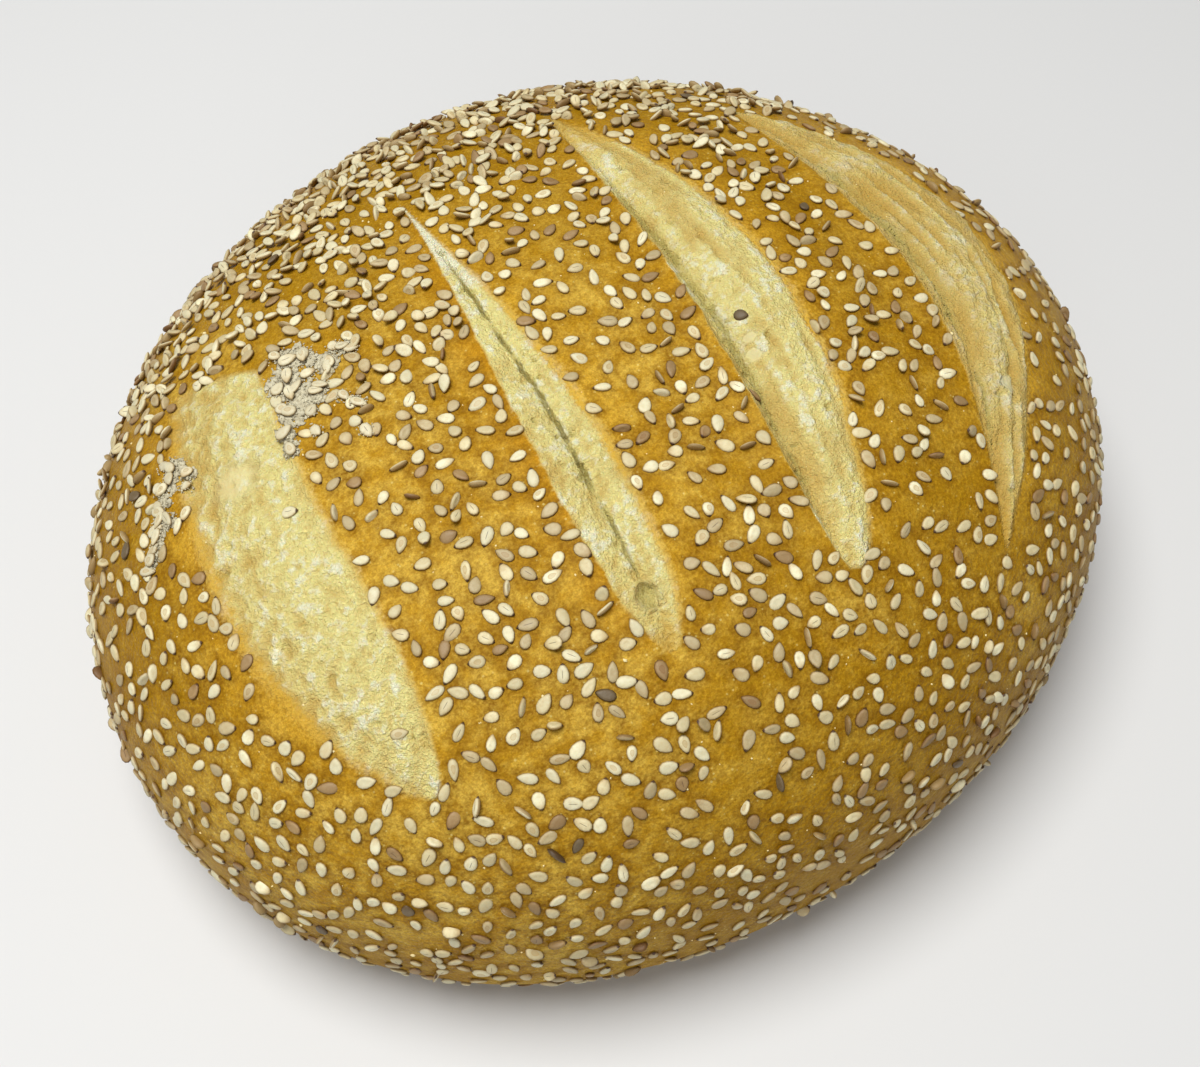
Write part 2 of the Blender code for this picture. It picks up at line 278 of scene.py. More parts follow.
class StageSettings(bpy.types.PropertyGroup):
    """Floor and light"""

    floor_colour: colour_setting("Floor", "Colour of the floor", (0.70, 0.70, 0.69))
    key_power: FloatProperty(
        name="Key Light", description="Power of the soft light overhead", default=9.7, min=0.0,
        unit="POWER")
    surround: FloatProperty(
        name="Surround", description="Strength of the light from all round", default=0.22, min=0.0)
    focal_length: FloatProperty(
        name="Focal Length", description="Focal length of the camera, in millimetres",
        default=44.26, min=1.0)


def smooth_step(low, high, value):
    share = min(max((value - low) / (high - low), 0.0), 1.0)
    return share * share * (3 - 2 * share)


def ripple(x, y, z, octaves=3):
    """Fractal noise from about -1 to 1."""
    return noise.fractal(Vector((x, y, z)), 0.9, 2.0, octaves)


def plan_radius(shape, angle):
    """The loaf's radius in plan where it is widest, at an angle from +X."""
    ellipse = 1.0 / math.hypot(math.cos(angle) / shape.half_length, math.sin(angle) / shape.half_width)
    shaping = (
        EGG_ALONG * math.cos(angle)
        + EGG_ACROSS * math.sin(angle)
        + SKEW * math.sin(2 * angle)
        + THREE_SIDED * math.sin(3 * angle)
    )
    return ellipse * (1.0 + shaping)


def soft_floor(z):
    """z, held above the oven floor with a small round where the side meets it."""
    near = max(BASE_ROUND - abs(z), 0.0) / BASE_ROUND
    return max(z, 0.0) + near * near * BASE_ROUND / 4


def dome_point(shape, direction):
    """The point of the smooth loaf in a direction, from the loaf's own centre."""
    across = math.hypot(direction.x, direction.y)
    length = (across**DOME_FULLNESS + abs(direction.z) ** DOME_FULLNESS) ** (1 / DOME_FULLNESS)
    angle = math.atan2(direction.y, direction.x)
    radius = plan_radius(shape, angle) * across / length
    if direction.z > 0:
        z = shape.widest_height + (shape.height - shape.widest_height) * direction.z / length
    else:
        z = soft_floor(shape.widest_height * (1 + UNDERCUT * direction.z / length))
    return Vector((radius * math.cos(angle), radius * math.sin(angle), z))


def dome_height(shape, x, y):
    """The height of the smooth loaf's upper part over a plan point."""
    share = min(math.hypot(x, y) / plan_radius(shape, math.atan2(y, x)), 1.0)
    rise = (1 - share**DOME_FULLNESS) ** (1 / DOME_FULLNESS)
    return shape.widest_height + (shape.height - shape.widest_height) * rise


class Spot:
    """Where a plan point lies in or beside a slash, in millimetres."""

    def __init__(self, slash, x, y):
        (head_x, head_y), (foot_x, foot_y) = slash["head"], slash["foot"]
        self.slash = slash
        self.length = head_y - foot_y
        slant = slash["skew"] * (x - head_x) * smooth_step(0.4, 0.0, (head_y - y) / self.length)
        self.along = (head_y - slant - y) / self.length
        self.inside = min(max(self.along, 0.0), 1.0)
        lean = math.sin(math.pi * self.inside)
        self.offset = x - head_x - (foot_x - head_x) * self.inside - slash["bow"] * lean
        self.near = abs(self.offset) < slash["half_width"] + SIDE_REACH
        at_head, at_foot = slash["fullness"]
        self.taper = max(math.sin(math.pi * self.inside ** slash["lean"]), 0.0) ** (
            at_head + (at_foot - at_head) * self.inside)
        self.half_width = self.width_on(math.copysign(1.0, self.offset)) if self.near else 0.0
        beyond = max(-self.along, self.along - 1.0, 0.0) * self.length
        self.gap = math.hypot(max(abs(self.offset) - self.half_width, 0.0), beyond)
        if beyond == 0.0 and abs(self.offset) < self.half_width:
            self.gap = abs(self.offset) - self.half_width
        self.across = 0.5
        if self.half_width > 0.0:
            self.across = min(max((self.offset / self.half_width + 1) / 2, 0.0), 1.0)

    def width_on(self, side):
        """The half width here, on the -X or the +X side, with the torn edge's waver."""
        drift = ripple(self.along * self.length / WAVER_LENGTH, side * 7.0, self.slash["bow"])
        return max(self.slash["half_width"] * self.taper + WAVER * drift * self.taper, 0.0)

    def crumb(self):
        """How much of the surface here is crumb rather than crust, from 0 to 1."""
        left, right = self.slash["fade"]
        middle = max(math.sin(math.pi * self.inside), 0.0) ** 0.7
        fade = (left + (right - left) * self.across) * (0.3 + 0.7 * middle)
        fade = min(fade, 1.1 * self.half_width + 0.3)
        at_head, at_foot = self.slash["dull"]
        ends = smooth_step(-0.01, at_head, self.along) * smooth_step(-0.01, at_foot, 1 - self.along)
        return smooth_step(-0.5 * fade, 0.5 * fade, -self.gap) * (0.35 + 0.65 * ends)

    def beside(self, look, width):
        """How strong a look of the crust beside the slash is here, falling off over width."""
        left, right = self.slash[look]
        side = left * (1 - self.across) + right * self.across
        middle = math.sqrt(max(math.sin(math.pi * self.inside), 0.0))
        return side * middle * math.exp(-((max(self.gap, 0.0) / width) ** 2))

    def crack_offset(self):
        """Distance in millimetres from here to the crack that wanders along the crease."""
        a = self.along * self.length
        drift = 0.9 * ripple(a / 12.0, self.slash["bow"], 3.0) + 0.5 * ripple(a / 2.4, 5.0, 1.0)
        return self.offset - self.lines()[1] - drift * self.taper

    def split(self):
        """How open the crack is here, from 0 to 1."""
        a = self.along * self.length
        here = smooth_step(-0.45, 0.05, ripple(a / 10.0, 21.0, self.slash["bow"]))
        here *= smooth_step(0.14, 0.3, self.along) * smooth_step(0.92, 0.76, self.along)
        width = CRACK_WIDTH * (1 + 0.6 * ripple(a / 4.0, 2.0, 8.0))
        return here * math.exp(-((self.crack_offset() / width) ** 2))

    def lines(self):
        """Offsets of the two edges and the crease."""
        left, right = self.width_on(-1.0), self.width_on(1.0)
        share = 2 * self.slash["crease"] - 1
        return -left, share * (left if share < 0 else right), right

    def bank(self):
        """How deep the crumb lies here, from 0 at an edge to 1 at the crease."""
        crease = self.slash["crease"]
        if crease == 0.5:
            return (1 - abs(2 * self.across - 1)) ** BANK_POWER
        if self.across < crease:
            return math.sin(math.pi / 2 * self.across / crease)
        return ((1 - self.across) / (1 - crease)) ** BANK_POWER

    def rise(self):
        """How far the slash lifts or sinks the surface here."""
        if not 0.0 < self.along < 1.0 or self.half_width <= 0.0:
            return 0.0
        slash = self.slash
        beyond = max(self.gap, 0.0)
        lip = slash["ear"] * (1 - self.across) + FAR_LIP * self.across
        lip *= math.exp(-((beyond / LIP_WIDTH) ** 2))
        sides = 1 - abs(2 * self.across - 1) ** WALL_SHARPNESS
        swell = slash["swell"] * math.sin(math.pi * self.across)
        return self.taper * (lip + swell - slash["recess"] * sides - slash["depth"] * self.bank())

    def grain(self):
        """Strands and tufts of the crumb, in millimetres of height."""
        a, o, key = self.along * self.length, self.offset, self.slash["bow"]
        ridges = 0.7 - 2.2 * abs(ripple(o / 4.2, a / 26.0, key, 2))
        ridges += 0.5 * ripple(o / 1.2, a / 8.0, key + 9)
        slant = o + 0.35 * a
        tufts = ripple(slant / 2.4, a / 3.4, key + 17, 4)
        tufts += 0.6 * ripple(slant / 0.8, a / 1.3, key + 31, 2)
        return self.slash["ridges"] * ridges + self.slash["tufts"] * tufts


# The bread's mesh: a ball of this many subdivisions, made finer twice near the slashes and once
# more near their cracks. Each reach is how far the finer mesh goes, and SNAP_REACH how far a point
# is moved onto an edge or a crease, in millimetres.
BALL_SUBDIVISIONS = 7
SLASH_REACHES = (2.6, 0.9)
CRACK_REACH = 1.0
SNAP_REACH = 0.17

# Slashes are opened only above this share of the height at which the loaf is widest
UPPER = 1.2


def snapped(x, y):
    """x, moved onto an edge or the crease of a slash that is very near, to keep those lines clean."""
    for slash in SLASHES:
        spot = Spot(slash, x, y)
        if not spot.near or not 0.0 < spot.along < 1.0:
            continue
        for line in spot.lines():
            if abs(spot.offset - line) < SNAP_REACH:
                return x + line - spot.offset
    return x


def slash_gap(x, y):
    """Distance in millimetres from a plan point to the nearest slash, negative inside one."""
    return min(Spot(slash, x, y).gap for slash in SLASHES)


def crack_gap(x, y):
    """Distance in millimetres from a plan point to the nearest crack."""
    nearest = 99.0
    for slash in SLASHES:
        spot = Spot(slash, x, y)
        if slash["crack"] and spot.near and 0.12 < spot.along < 0.94:
            nearest = min(nearest, abs(spot.crack_offset()))
    return nearest


def make_finer(ball, upper, gap, reach):
    """Cuts in two each edge of the upper part whose ends lie nearer than reach by gap's measure."""
    close = set()
    for vertex in ball.verts:
        if vertex.co.z > upper and gap(vertex.co.x / MM, vertex.co.y / MM) < reach:
            close.add(vertex)
    edges = [edge for edge in ball.edges if edge.verts[0] in close and edge.verts[1] in close]
    bmesh.ops.subdivide_edges(ball, edges=edges, cuts=1, use_grid_fill=True)
    bmesh.ops.triangulate(ball, faces=[face for face in ball.faces if len(face.verts) > 3])


def ball_of_bread(shape):
    """The smooth dome as a ball of triangles, finer near the slashes and finest near their cracks."""
    ball = bmesh.new()
    bmesh.ops.create_icosphere(ball, subdivisions=BALL_SUBDIVISIONS, radius=1.0)
    for vertex in ball.verts:
        vertex.co = dome_point(shape, vertex.co.normalized())
    upper = shape.widest_height * UPPER
    for reach in SLASH_REACHES:
        make_finer(ball, upper, slash_gap, reach)
    make_finer(ball, upper, crack_gap, CRACK_REACH)
    return ball


def make_holes(chance):
    """Small holes at random places in the crumb, added to the named ones."""
    holes = list(NAMED_HOLES)
    for slash in SLASHES:
        for _ in range(SMALL_HOLES):
            along = chance.uniform(0.1, 0.92)
            y = slash["head"][1] + (slash["foot"][1] - slash["head"][1]) * along
            spot = Spot(slash, slash["head"][0], y)
            middle = slash["head"][0] - spot.offset
            reach = slash["half_width"] * spot.taper * 0.8
            holes.append((middle + chance.uniform(-reach, reach), y, chance.uniform(0.3, 0.75),
                          chance.uniform(0.4, 1.0)))
    return holes


def feature(features, x, y, spread):
    """Sum over round features at a plan point, each one's depth falling off over its radius."""
    total = 0.0
    for fx, fy, radius, depth in features:
        away = ((x - fx) ** 2 + (y - fy) ** 2) / (radius * radius)
        if away < spread:
            total += depth * math.exp(-1.5 * away * away)
    return total


def bubble_rims(x, y):
    """Height of the rims of burst bubbles at a plan point, in millimetres."""
    total = 0.0
    for rx, ry, radius, rise in RINGS:
        away = math.hypot(x - rx, y - ry) - radius * (1 + 0.12 * ripple(x / 2.0, y / 2.0, 6.0))
        total += rise * math.exp(-((away / 0.35) ** 2))
    return total


# Looks stored on the bread's points; the hollow look is painted shade in the slashes' creases, holes,
# cracks and grooves
LOOKS = ("crumb", "toast", "gold", "hollow", "glaze", "baked", "tuft", "glow")


def bake_and_shade(shape, point):
    """How dark the crust is at a point of the smooth loaf, from 0 to 1: its baking, with painted shade
    added low on the sides, towards the front right and at the far left.
    """
    x, y = point.x / MM, point.y / MM
    low = 1 - smooth_step(0.15, 0.7, point.z / shape.height)
    right = RIGHT_SHADE_AND_BAKE * smooth_step(-8.0, 62.0, 0.64 * x - 0.77 * y)
    between = math.exp(-(((x - 45.0) / 22.0) ** 2) - ((y - 12.0) / 45.0) ** 2)
    back = BAKED_BACK * smooth_step(*BACK, y)
    left = LEFT_SHADE_AND_BAKE * smooth_step(-58.0, -92.0, x) * smooth_step(-45.0, -5.0, y)
    patchy = BAKED_PATCHES * ripple(x / 22.0, y / 22.0, point.z / 0.022)
    pale = feature(PALE_SPOTS, x, y, 4.0)
    return min(max(max(LOW_SHADE_AND_BAKE * low, right, between, back, left) + patchy - pale, 0.0), 1.0)


def bread_point(shape, point, holes):
    """A point of the bread with its relief, and its looks in the order of LOOKS."""
    baked = bake_and_shade(shape, point)
    lumps = 0.35 * ripple(point.x / 0.03, point.y / 0.03, point.z / 0.03) * MM
    if point.z <= shape.widest_height * UPPER:
        lift = lumps if point.z > BASE_ROUND else 0.0
        return point + (point - HEART).normalized() * lift, (0.0, 0.0, 0.0, 0.0, 0.0, baked, 0.0, 0.0)
    y = point.y / MM
    x = snapped(point.x / MM, y)
    point = Vector((x * MM, point.y, dome_height(shape, x * MM, point.y)))
    rise = crumb = toast = gold = hollow = glaze = tuft = glow = 0.0
    for slash in SLASHES:
        spot = Spot(slash, x, y)
        if not spot.near:
            continue
        rise += spot.rise()
        toast = max(toast, spot.beside("toast", TOAST_WIDTH))
        glow = max(glow, spot.beside("glow", GLOW_WIDTH))
        open_here = spot.crumb()
        if open_here > 0.0:
            crumb = open_here
            everywhere, leftward, headward = slash["gold"]
            headward *= (1 - spot.inside) ** 4
            gold = everywhere + leftward * (1 - spot.across) ** 2 + headward
            strip = slash["strip"] * smooth_step(0.1, 0.35, spot.along)
            gold += strip * smooth_step(0.68, 0.78, spot.across)
            groove = strip * math.exp(-(((spot.across - 0.70) / 0.05) ** 2))
            # Painted shade on the crumb: darker towards the crease, in holes, in the crack and in the
            # groove
            hollow = spot.bank() ** 3.5 * spot.taper * min(slash["depth"] / 3.0, 1.0)
            blister = feature(BLISTERS, x + 0.7 * ripple(x / 2.2, y / 2.2, 4.0), y, 4.0)
            glaze = min(5 * blister, 1.0)
            holed = feature(holes, x + 0.4 * ripple(x, y, 2.0), y + 0.6 * ripple(x, y, 9.0), 5.0)
            grain = spot.grain()
            split = slash["crack"] * spot.split()
            inner = min(max(-spot.gap, 0.0), 1.0)
            rise += inner * (grain * (1 - 0.8 * glaze) - holed + blister - split)
            rise += inner * bubble_rims(x, y)
            rise -= 1.7 * groove
            hollow += 1.1 * min(holed, 1.0) + 1.4 * min(split, 1.0) + 0.8 * groove
            # Painted shade on the crumb's bank at -X
            hollow += slash["shade"] * smooth_step(0.75, 0.35, spot.across) * spot.taper
            # Height of the strands; from it the crumb's colour takes painted highlight on top and painted
            # shade in the grooves
            tuft = 0.5 + 0.5 * grain / (slash["ridges"] + slash["tufts"])
    lumps *= 1 - crumb
    return point + (point - HEART).normalized() * (rise * MM + lumps), (
        crumb, toast, gold, hollow, glaze, baked, tuft, glow)


def add_looks(mesh, names, values):
    """Stores one float attribute per name, from the columns of values."""
    table = np.asarray(values, dtype=np.float32)
    for column, name in enumerate(names):
        store = mesh.attributes.new(name, "FLOAT", "POINT")
        store.data.foreach_set("value", np.ascontiguousarray(table[:, column]))


def mesh_piece(name, points, triangles, material):
    """A mesh object from arrays, which rides on the loaf."""
    mesh = bpy.data.meshes.new(name)
    mesh.vertices.add(len(points))
    mesh.vertices.foreach_set("co", np.asarray(points, dtype=np.float32).ravel())
    mesh.loops.add(3 * len(triangles))
    mesh.loops.foreach_set("vertex_index", np.asarray(triangles, dtype=np.int32).ravel())
    mesh.polygons.add(len(triangles))
    mesh.polygons.foreach_set("loop_start", np.arange(0, 3 * len(triangles), 3, dtype=np.int32))
    mesh.update(calc_edges=True)
    mesh.validate()
    mesh.shade_smooth()
    mesh.materials.append(material)
    piece = bpy.data.objects.new(name, mesh)
    bpy.context.scene.collection.objects.link(piece)
    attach(piece, "root")
    return piece


class Paint:
    """Builds the nodes of one material. Sizes of grain are in millimetres."""

    def __init__(self, name, roughness):
        self.material = bpy.data.materials.new(name)
        self.material.use_nodes = True
        self.tree = self.material.node_tree
        self.shader = self.tree.nodes["Principled BSDF"]
        self.shader.inputs["Roughness"].default_value = roughness
        self.place = self.node("ShaderNodeTexCoord").outputs["Object"]

    def node(self, kind, values=None, **settings):
        """Adds a node with its settings, then sets or links the sockets that values names."""
        made = self.tree.nodes.new(kind)
        for name, value in settings.items():
            setattr(made, name, value)
        for socket, value in (values or {}).items():
            self.put(value, made.inputs[socket])
        return made

    def put(self, value, socket):
        """Links a socket, or sets a plain number or colour."""
        if isinstance(value, bpy.types.NodeSocket):
            self.tree.links.new(value, socket)
        elif hasattr(value, "__len__"):
            socket.default_value = (*value, 1.0)[: len(socket.default_value)]
        else:
            socket.default_value = value

    def soften(self, weight, radius, scale):
        """Lets some light in under the skin, over about scale millimetres."""
        self.shader.inputs["Subsurface Weight"].default_value = weight
        self.shader.inputs["Subsurface Radius"].default_value = radius
        self.shader.inputs["Subsurface Scale"].default_value = scale * MM

    def attribute(self, name):
        return self.node("ShaderNodeAttribute", attribute_name=name).outputs["Fac"]

    def grain(self, size, detail=3.0, roughness=0.55):
        """Noise whose features are about size across."""
        made = self.node("ShaderNodeTexNoise", {
            "Vector": self.place, "Scale": 1.0 / (size * MM), "Detail": detail, "Roughness": roughness})
        return made.outputs["Fac"]

    def cells(self, size):
        """Distance to the nearest of random points about size apart."""
        made = self.node("ShaderNodeTexVoronoi", {"Vector": self.place, "Scale": 1.0 / (size * MM)})
        return made.outputs["Distance"]

    def calculate(self, operation, first, second):
        return self.node("ShaderNodeMath", {0: first, 1: second}, operation=operation).outputs["Value"]

    def times(self, first, second):
        return self.calculate("MULTIPLY", first, second)

    def sum(self, *values):
        total = values[0]
        for value in values[1:]:
            total = self.calculate("ADD", total, value)
        return total

    def band(self, value, low, high, start=0.0, end=1.0):
        """value, eased from start at low to end at high."""
        limits = {"Value": value, "From Min": low, "From Max": high, "To Min": start, "To Max": end}
        return self.node("ShaderNodeMapRange", limits, interpolation_type="SMOOTHSTEP").outputs["Result"]

    def coat(self, colour, *layers):
        """colour with each layer, a (share, colour) pair, mixed over it in turn."""
        for share, layer in layers:
            made = self.node("ShaderNodeMix", data_type="RGBA")
            for socket, value in ((0, share), (6, colour), (7, layer)):
                self.put(value, made.inputs[socket])
            colour = made.outputs[2]
        return colour

    def bump(self, height, depth):
        """Height from 0 to 1 as relief of depth millimetres."""
        made = self.node("ShaderNodeBump", {"Distance": depth * MM, "Height": height})
        self.put(made.outputs["Normal"], self.shader.inputs["Normal"])

    def finish(self, colour, roughness=None):
        self.put(colour, self.shader.inputs["Base Color"])
        if roughness is not None:
            self.put(roughness, self.shader.inputs["Roughness"])
        return self.material


def bread_material(shape):
    """Golden satin crust that gives way to matt crumb in the slashes."""
    paint = Paint("golden_crust_and_crumb", 0.5)
    paint.shader.inputs["Specular Tint"].default_value = (1.0, 0.72, 0.30, 1.0)
    paint.soften(0.12, (1.0, 0.55, 0.25), 1.6)
    mottle, blotch = paint.grain(9.0, 4.0), paint.grain(2.6, 4.0, 0.6)
    fine, dust = paint.grain(0.7, 3.0, 0.6), paint.grain(0.32, 2.0, 0.6)
    golden = paint.sum(paint.band(mottle, 0.3, 0.7, 0.0, 0.6), paint.band(blotch, 0.3, 0.7, 0.0, 0.5))
    toasting = paint.times(paint.attribute("toast"), paint.band(mottle, 0.25, 0.6, 0.45, 1.0))
    glow = paint.times(paint.attribute("glow"), paint.band(mottle, 0.3, 0.65, 0.4, 1.0))
    # Painted shadow of the seeds on the crust, together with the scorch of the crust against them
    seed_shade_and_scorch = paint.times(paint.attribute("seeded"), paint.band(fine, 0.25, 0.6, 0.95, 0.52))
    specks = paint.times(paint.band(paint.cells(1.3), 0.12, 0.2, 0.3, 0.0), paint.band(blotch, 0.5, 0.6))
    # Painted shade in the crust's pores
    pore_shade = paint.times(paint.band(paint.cells(1.9), 0.06, 0.13, 0.5, 0.0), paint.band(blotch, 0.5, 0.4))
    height = paint.node("ShaderNodeSeparateXYZ", {"Vector": paint.place}).outputs["Z"]
    sheen = paint.band(height, 15.0 * MM, 60.0 * MM, 0.03, 0.17)
    paint.put(sheen, paint.shader.inputs["Specular IOR Level"])
    crust = paint.coat(
        shape.amber,
        (paint.band(golden, 0.15, 0.95), shape.golden),
        # Darkening by baking, with painted shade low on the sides, towards the front right and at the far
        # left
        (paint.attribute("baked"), shape.baked),
        (toasting, shape.toasted),
        (glow, shape.edge),
        (paint.band(blotch, 0.5, 0.75, 0.0, 0.3), shape.golden),
        (paint.band(fine, 0.32, 0.68, 0.42, 0.0), shape.scorched_and_shade),
        (paint.band(dust, 0.35, 0.65, 0.3, 0.0), shape.scorched_and_shade),
        (paint.band(dust, 0.55, 0.75, 0.0, 0.25), shape.edge),
        (seed_shade_and_scorch, shape.scorched_and_shade),
        (specks, shape.crumb),
        (pore_shade, shape.scorched_and_shade),
        (paint.band(height, 0.4 * MM, 7.0 * MM, 1.0, 0.0), shape.underside),
    )

    gold, hollow, tuft, glaze = (paint.attribute(name) for name in ("gold", "hollow", "tuft", "glaze"))
    tufts, broad = paint.grain(1.9, 5.0, 0.62), paint.grain(5.5, 4.0, 0.6)
    moist = paint.grain(1.1, 3.0, 0.6)
    # The crumb's colour follows its own gold and random patches, and also the strand height: strands that
    # stand high are painted whiter as a highlight and the grooves between them more golden as painted shade
    tint = paint.sum(
        gold, paint.band(broad, 0.3, 0.7, -0.12, 0.14), paint.band(tuft, 0.15, 0.85, 0.36, -0.32))
    white_and_highlight = paint.sum(
        tuft, paint.band(tufts, 0.3, 0.7, -0.4, 0.4), paint.band(broad, 0.3, 0.7, 0.15, -0.15),
        paint.band(gold, -0.8, 0.0, 0.8, -0.1))
    # Painted shade in the crumb's pits
    pit_shade = paint.times(paint.band(paint.cells(0.9), 0.1, 0.26, 0.7, 0.0), paint.band(moist, 0.45, 0.55))
    crumb = paint.coat(
        shape.crumb,
        (paint.band(white_and_highlight, 0.45, 1.05), shape.crumb_white),
        (paint.band(tint, 0.0, 1.1), shape.crumb_gold),
        (paint.band(tint, 0.95, 1.8, 0.0, 0.8), shape.amber),
        (paint.band(moist, 0.5, 0.68, 0.0, 0.38), shape.crumb_gold),
        (pit_shade, shape.crumb_shade),
        (paint.times(glaze, 0.75), shape.crumb_glassy),
        # Painted shade in the creases, holes, cracks and grooves
        (paint.times(paint.band(hollow, 0.35, 1.5), 0.8), shape.crumb_shade),
    )

    torn = paint.sum(paint.attribute("crumb"), paint.band(fine, 0.3, 0.7, -0.1, 0.1))
    crumbly = paint.band(torn, 0.04, 0.96)
    dry = paint.times(crumbly, paint.band(glaze, 0.2, 0.8, 1.0, 0.2))
    leather = paint.sum(
        paint.band(paint.cells(1.0), 0.0, 0.7, 0.0, 0.5), paint.band(fine, 0.2, 0.8, 0.0, 0.5))
    porous = paint.sum(
        paint.band(tufts, 0.2, 0.8, 0.0, 1.2), paint.band(paint.grain(0.5, 3.0, 0.6), 0.3, 0.7, 0.0, 0.9))
    crusty = paint.calculate("SUBTRACT", 0.5, paint.times(crumbly, 0.5))
    paint.bump(paint.sum(paint.times(leather, crusty), paint.times(porous, dry)), 0.42)
    between = paint.times(paint.band(crumbly, 0.0, 0.5), paint.band(crumbly, 0.5, 1.0, 0.9, 0.0))
    colour = paint.coat(crust, (crumbly, crumb), (paint.times(between, glow), shape.edge))
    return paint.finish(colour, paint.band(dry, 0.0, 1.0, 0.5, 0.85))


def make_bread(shape):
    chance = random.Random(11)
    holes = make_holes(chance)
    ball = ball_of_bread(shape)
    looks = []
    for vertex in ball.verts:
        point, look = bread_point(shape, vertex.co.copy(), holes)
        vertex.co = point + PLAN_CENTRE
        looks.append(look)
    ball.verts.index_update()
    bmesh.ops.recalc_face_normals(ball, faces=ball.faces)
    points = np.array([vertex.co[:] for vertex in ball.verts])
    triangles = np.array([[vertex.index for vertex in face.verts] for face in ball.faces])
    ball.free()
    piece = mesh_piece("crust_and_crumb", points, triangles, bread_material(shape))
    add_looks(piece.data, LOOKS, looks)
    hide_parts("loaf")


class LOAF_OT_bread(bpy.types.Operator):
    """Shape the loaf, open its slashes and colour the crust and the crumb"""

    bl_idname = "loaf.bread"
    bl_label = "Bread"
    bl_options = {"REGISTER", "UNDO"}

    def execute(self, context):
        make_bread(context.scene.loaf_crust)
        return {"FINISHED"}


# A seed's mesh: rings from the middle to the rim on top and back to the middle below
TOP_RINGS = (0.0, 0.36, 0.62, 0.84, 1.0)
LOW_RINGS = (0.66, 0.0)
RING_POINTS = 12
SEED_LOOKS = ("lengthwise", "sideways", "inward", "tint", "tipped", "mark")

# Marks on a seed's upper face
RING, SLIT = 1.0, 2.0


def seed_rim(turn):
    """The outline of a seed in plan, from -1 to 1 each way, blunt at -X and pointed at +X."""
    t = math.cos(turn)
    return t, math.copysign((1 + t) ** 0.5 * max(1 - t, 0.0) ** 0.74 / 1.017, math.sin(turn))


def seed_height(ring, dimple):
    """Height of the top face at a ring, from 0 at the rim to about 1."""
    crown = (1 - ring**2.6) ** 0.6
    return crown - dimple * math.exp(-((ring / 0.42) ** 2))


def seed_mesh(dimple):
    """(points, triangles, places) of a seed that is 2 long, 2 wide and 2 thick."""
    points, places = [], []
    rows = []
    layers = [(ring, 1.0) for ring in TOP_RINGS] + [(ring, -1.0) for ring in LOW_RINGS]
    for ring, side in layers:
        row = []
        for i in range(1 if ring == 0.0 else RING_POINTS):
            t, w = seed_rim(2 * math.pi * i / RING_POINTS)
            height = side * seed_height(ring, dimple if side > 0 else 0.0)
            row.append(len(points))
            points.append((ring * t - 0.12 * (1 - ring), ring * w, height))
            # The underside counts as rim, so its colour takes the rim's painted shade
            places.append((ring * t, ring * w, ring if side > 0 else 1.0))
        rows.append(row)
    triangles = []
    for upper, lower in zip(rows, rows[1:]):
        for i in range(RING_POINTS):
            j = (i + 1) % RING_POINTS
            if len(upper) == 1:
                triangles.append((upper[0], lower[i], lower[j]))
            elif len(lower) == 1:
                triangles.append((upper[j], upper[i], lower[0]))
            else:
                triangles.append((upper[i], lower[i], lower[j]))
                triangles.append((upper[i], lower[j], upper[j]))
    return np.array(points), np.array(triangles), np.array(places)


def surface_samples(piece, generator, count):
    """Random places all over a mesh, even by area, with the normals of their triangles."""
    mesh = piece.data
    points = np.empty(3 * len(mesh.vertices), dtype=np.float32)
    mesh.vertices.foreach_get("co", points)
    points = points.reshape(-1, 3).astype(float)
    corners = np.empty(3 * len(mesh.polygons), dtype=np.int32)
    mesh.polygons.foreach_get("vertices", corners)
    corners = corners.reshape(-1, 3)
    a, b, c = points[corners[:, 0]], points[corners[:, 1]], points[corners[:, 2]]
    cross = np.cross(b - a, c - a)
    areas = np.linalg.norm(cross, axis=1)
    picks = np.searchsorted(np.cumsum(areas), generator.random(count) * areas.sum())
    picks = np.minimum(picks, len(areas) - 1)
    u, v = generator.random(count), generator.random(count)
    flip = u + v > 1
    u[flip], v[flip] = 1 - u[flip], 1 - v[flip]
    places = a[picks] + u[:, None] * (b - a)[picks] + v[:, None] * (c - a)[picks]
    normals = cross[picks] / areas[picks][:, None]
    return places, normals, areas.sum() / 2


def flour_gap(x, y):
    """Distance in millimetres from a plan point to the nearest blot of flour."""
    return min(math.hypot(x - bx, y - by) - radius for bx, by, radius in FLOUR_BLOTS)


def seed_density(seeds, place):
    """Seeds on a square centimetre at a place, and none in slashes, in flour or near the floor."""
    x, y = (place[0] - PLAN_CENTRE.x) / MM, (place[1] - PLAN_CENTRE.y) / MM
    z = place[2] / MM
    if z < 2.5:
        return 0.0
    if z > 30.0 and (slash_gap(x, y) < 0.7 or flour_gap(x, y) < 0.5):
        return 0.0
    away = smooth_step(-5.0, 72.0, 0.98 * y - 0.06 * x)
    right = 0.1 * smooth_step(75.0, 100.0, x)
    crowd = min(max(away, right), 1.0)
    patchy = 1.0 + 0.15 * ripple(x / 12.0, y / 12.0, z / 12.0, 2)
    patchy -= 0.28 * smooth_step(66.0, 30.0, z) + 0.32 * smooth_step(58.0, 85.0, x)
    for px, py, along, across, share in SEED_PATCHES:
        patchy += share * math.exp(-(((x - px) / along) ** 2) - ((y - py) / across) ** 2)
    return (seeds.sparse + (seeds.dense - seeds.sparse) * crowd) * patchy * smooth_step(2.5, 9.0, z)


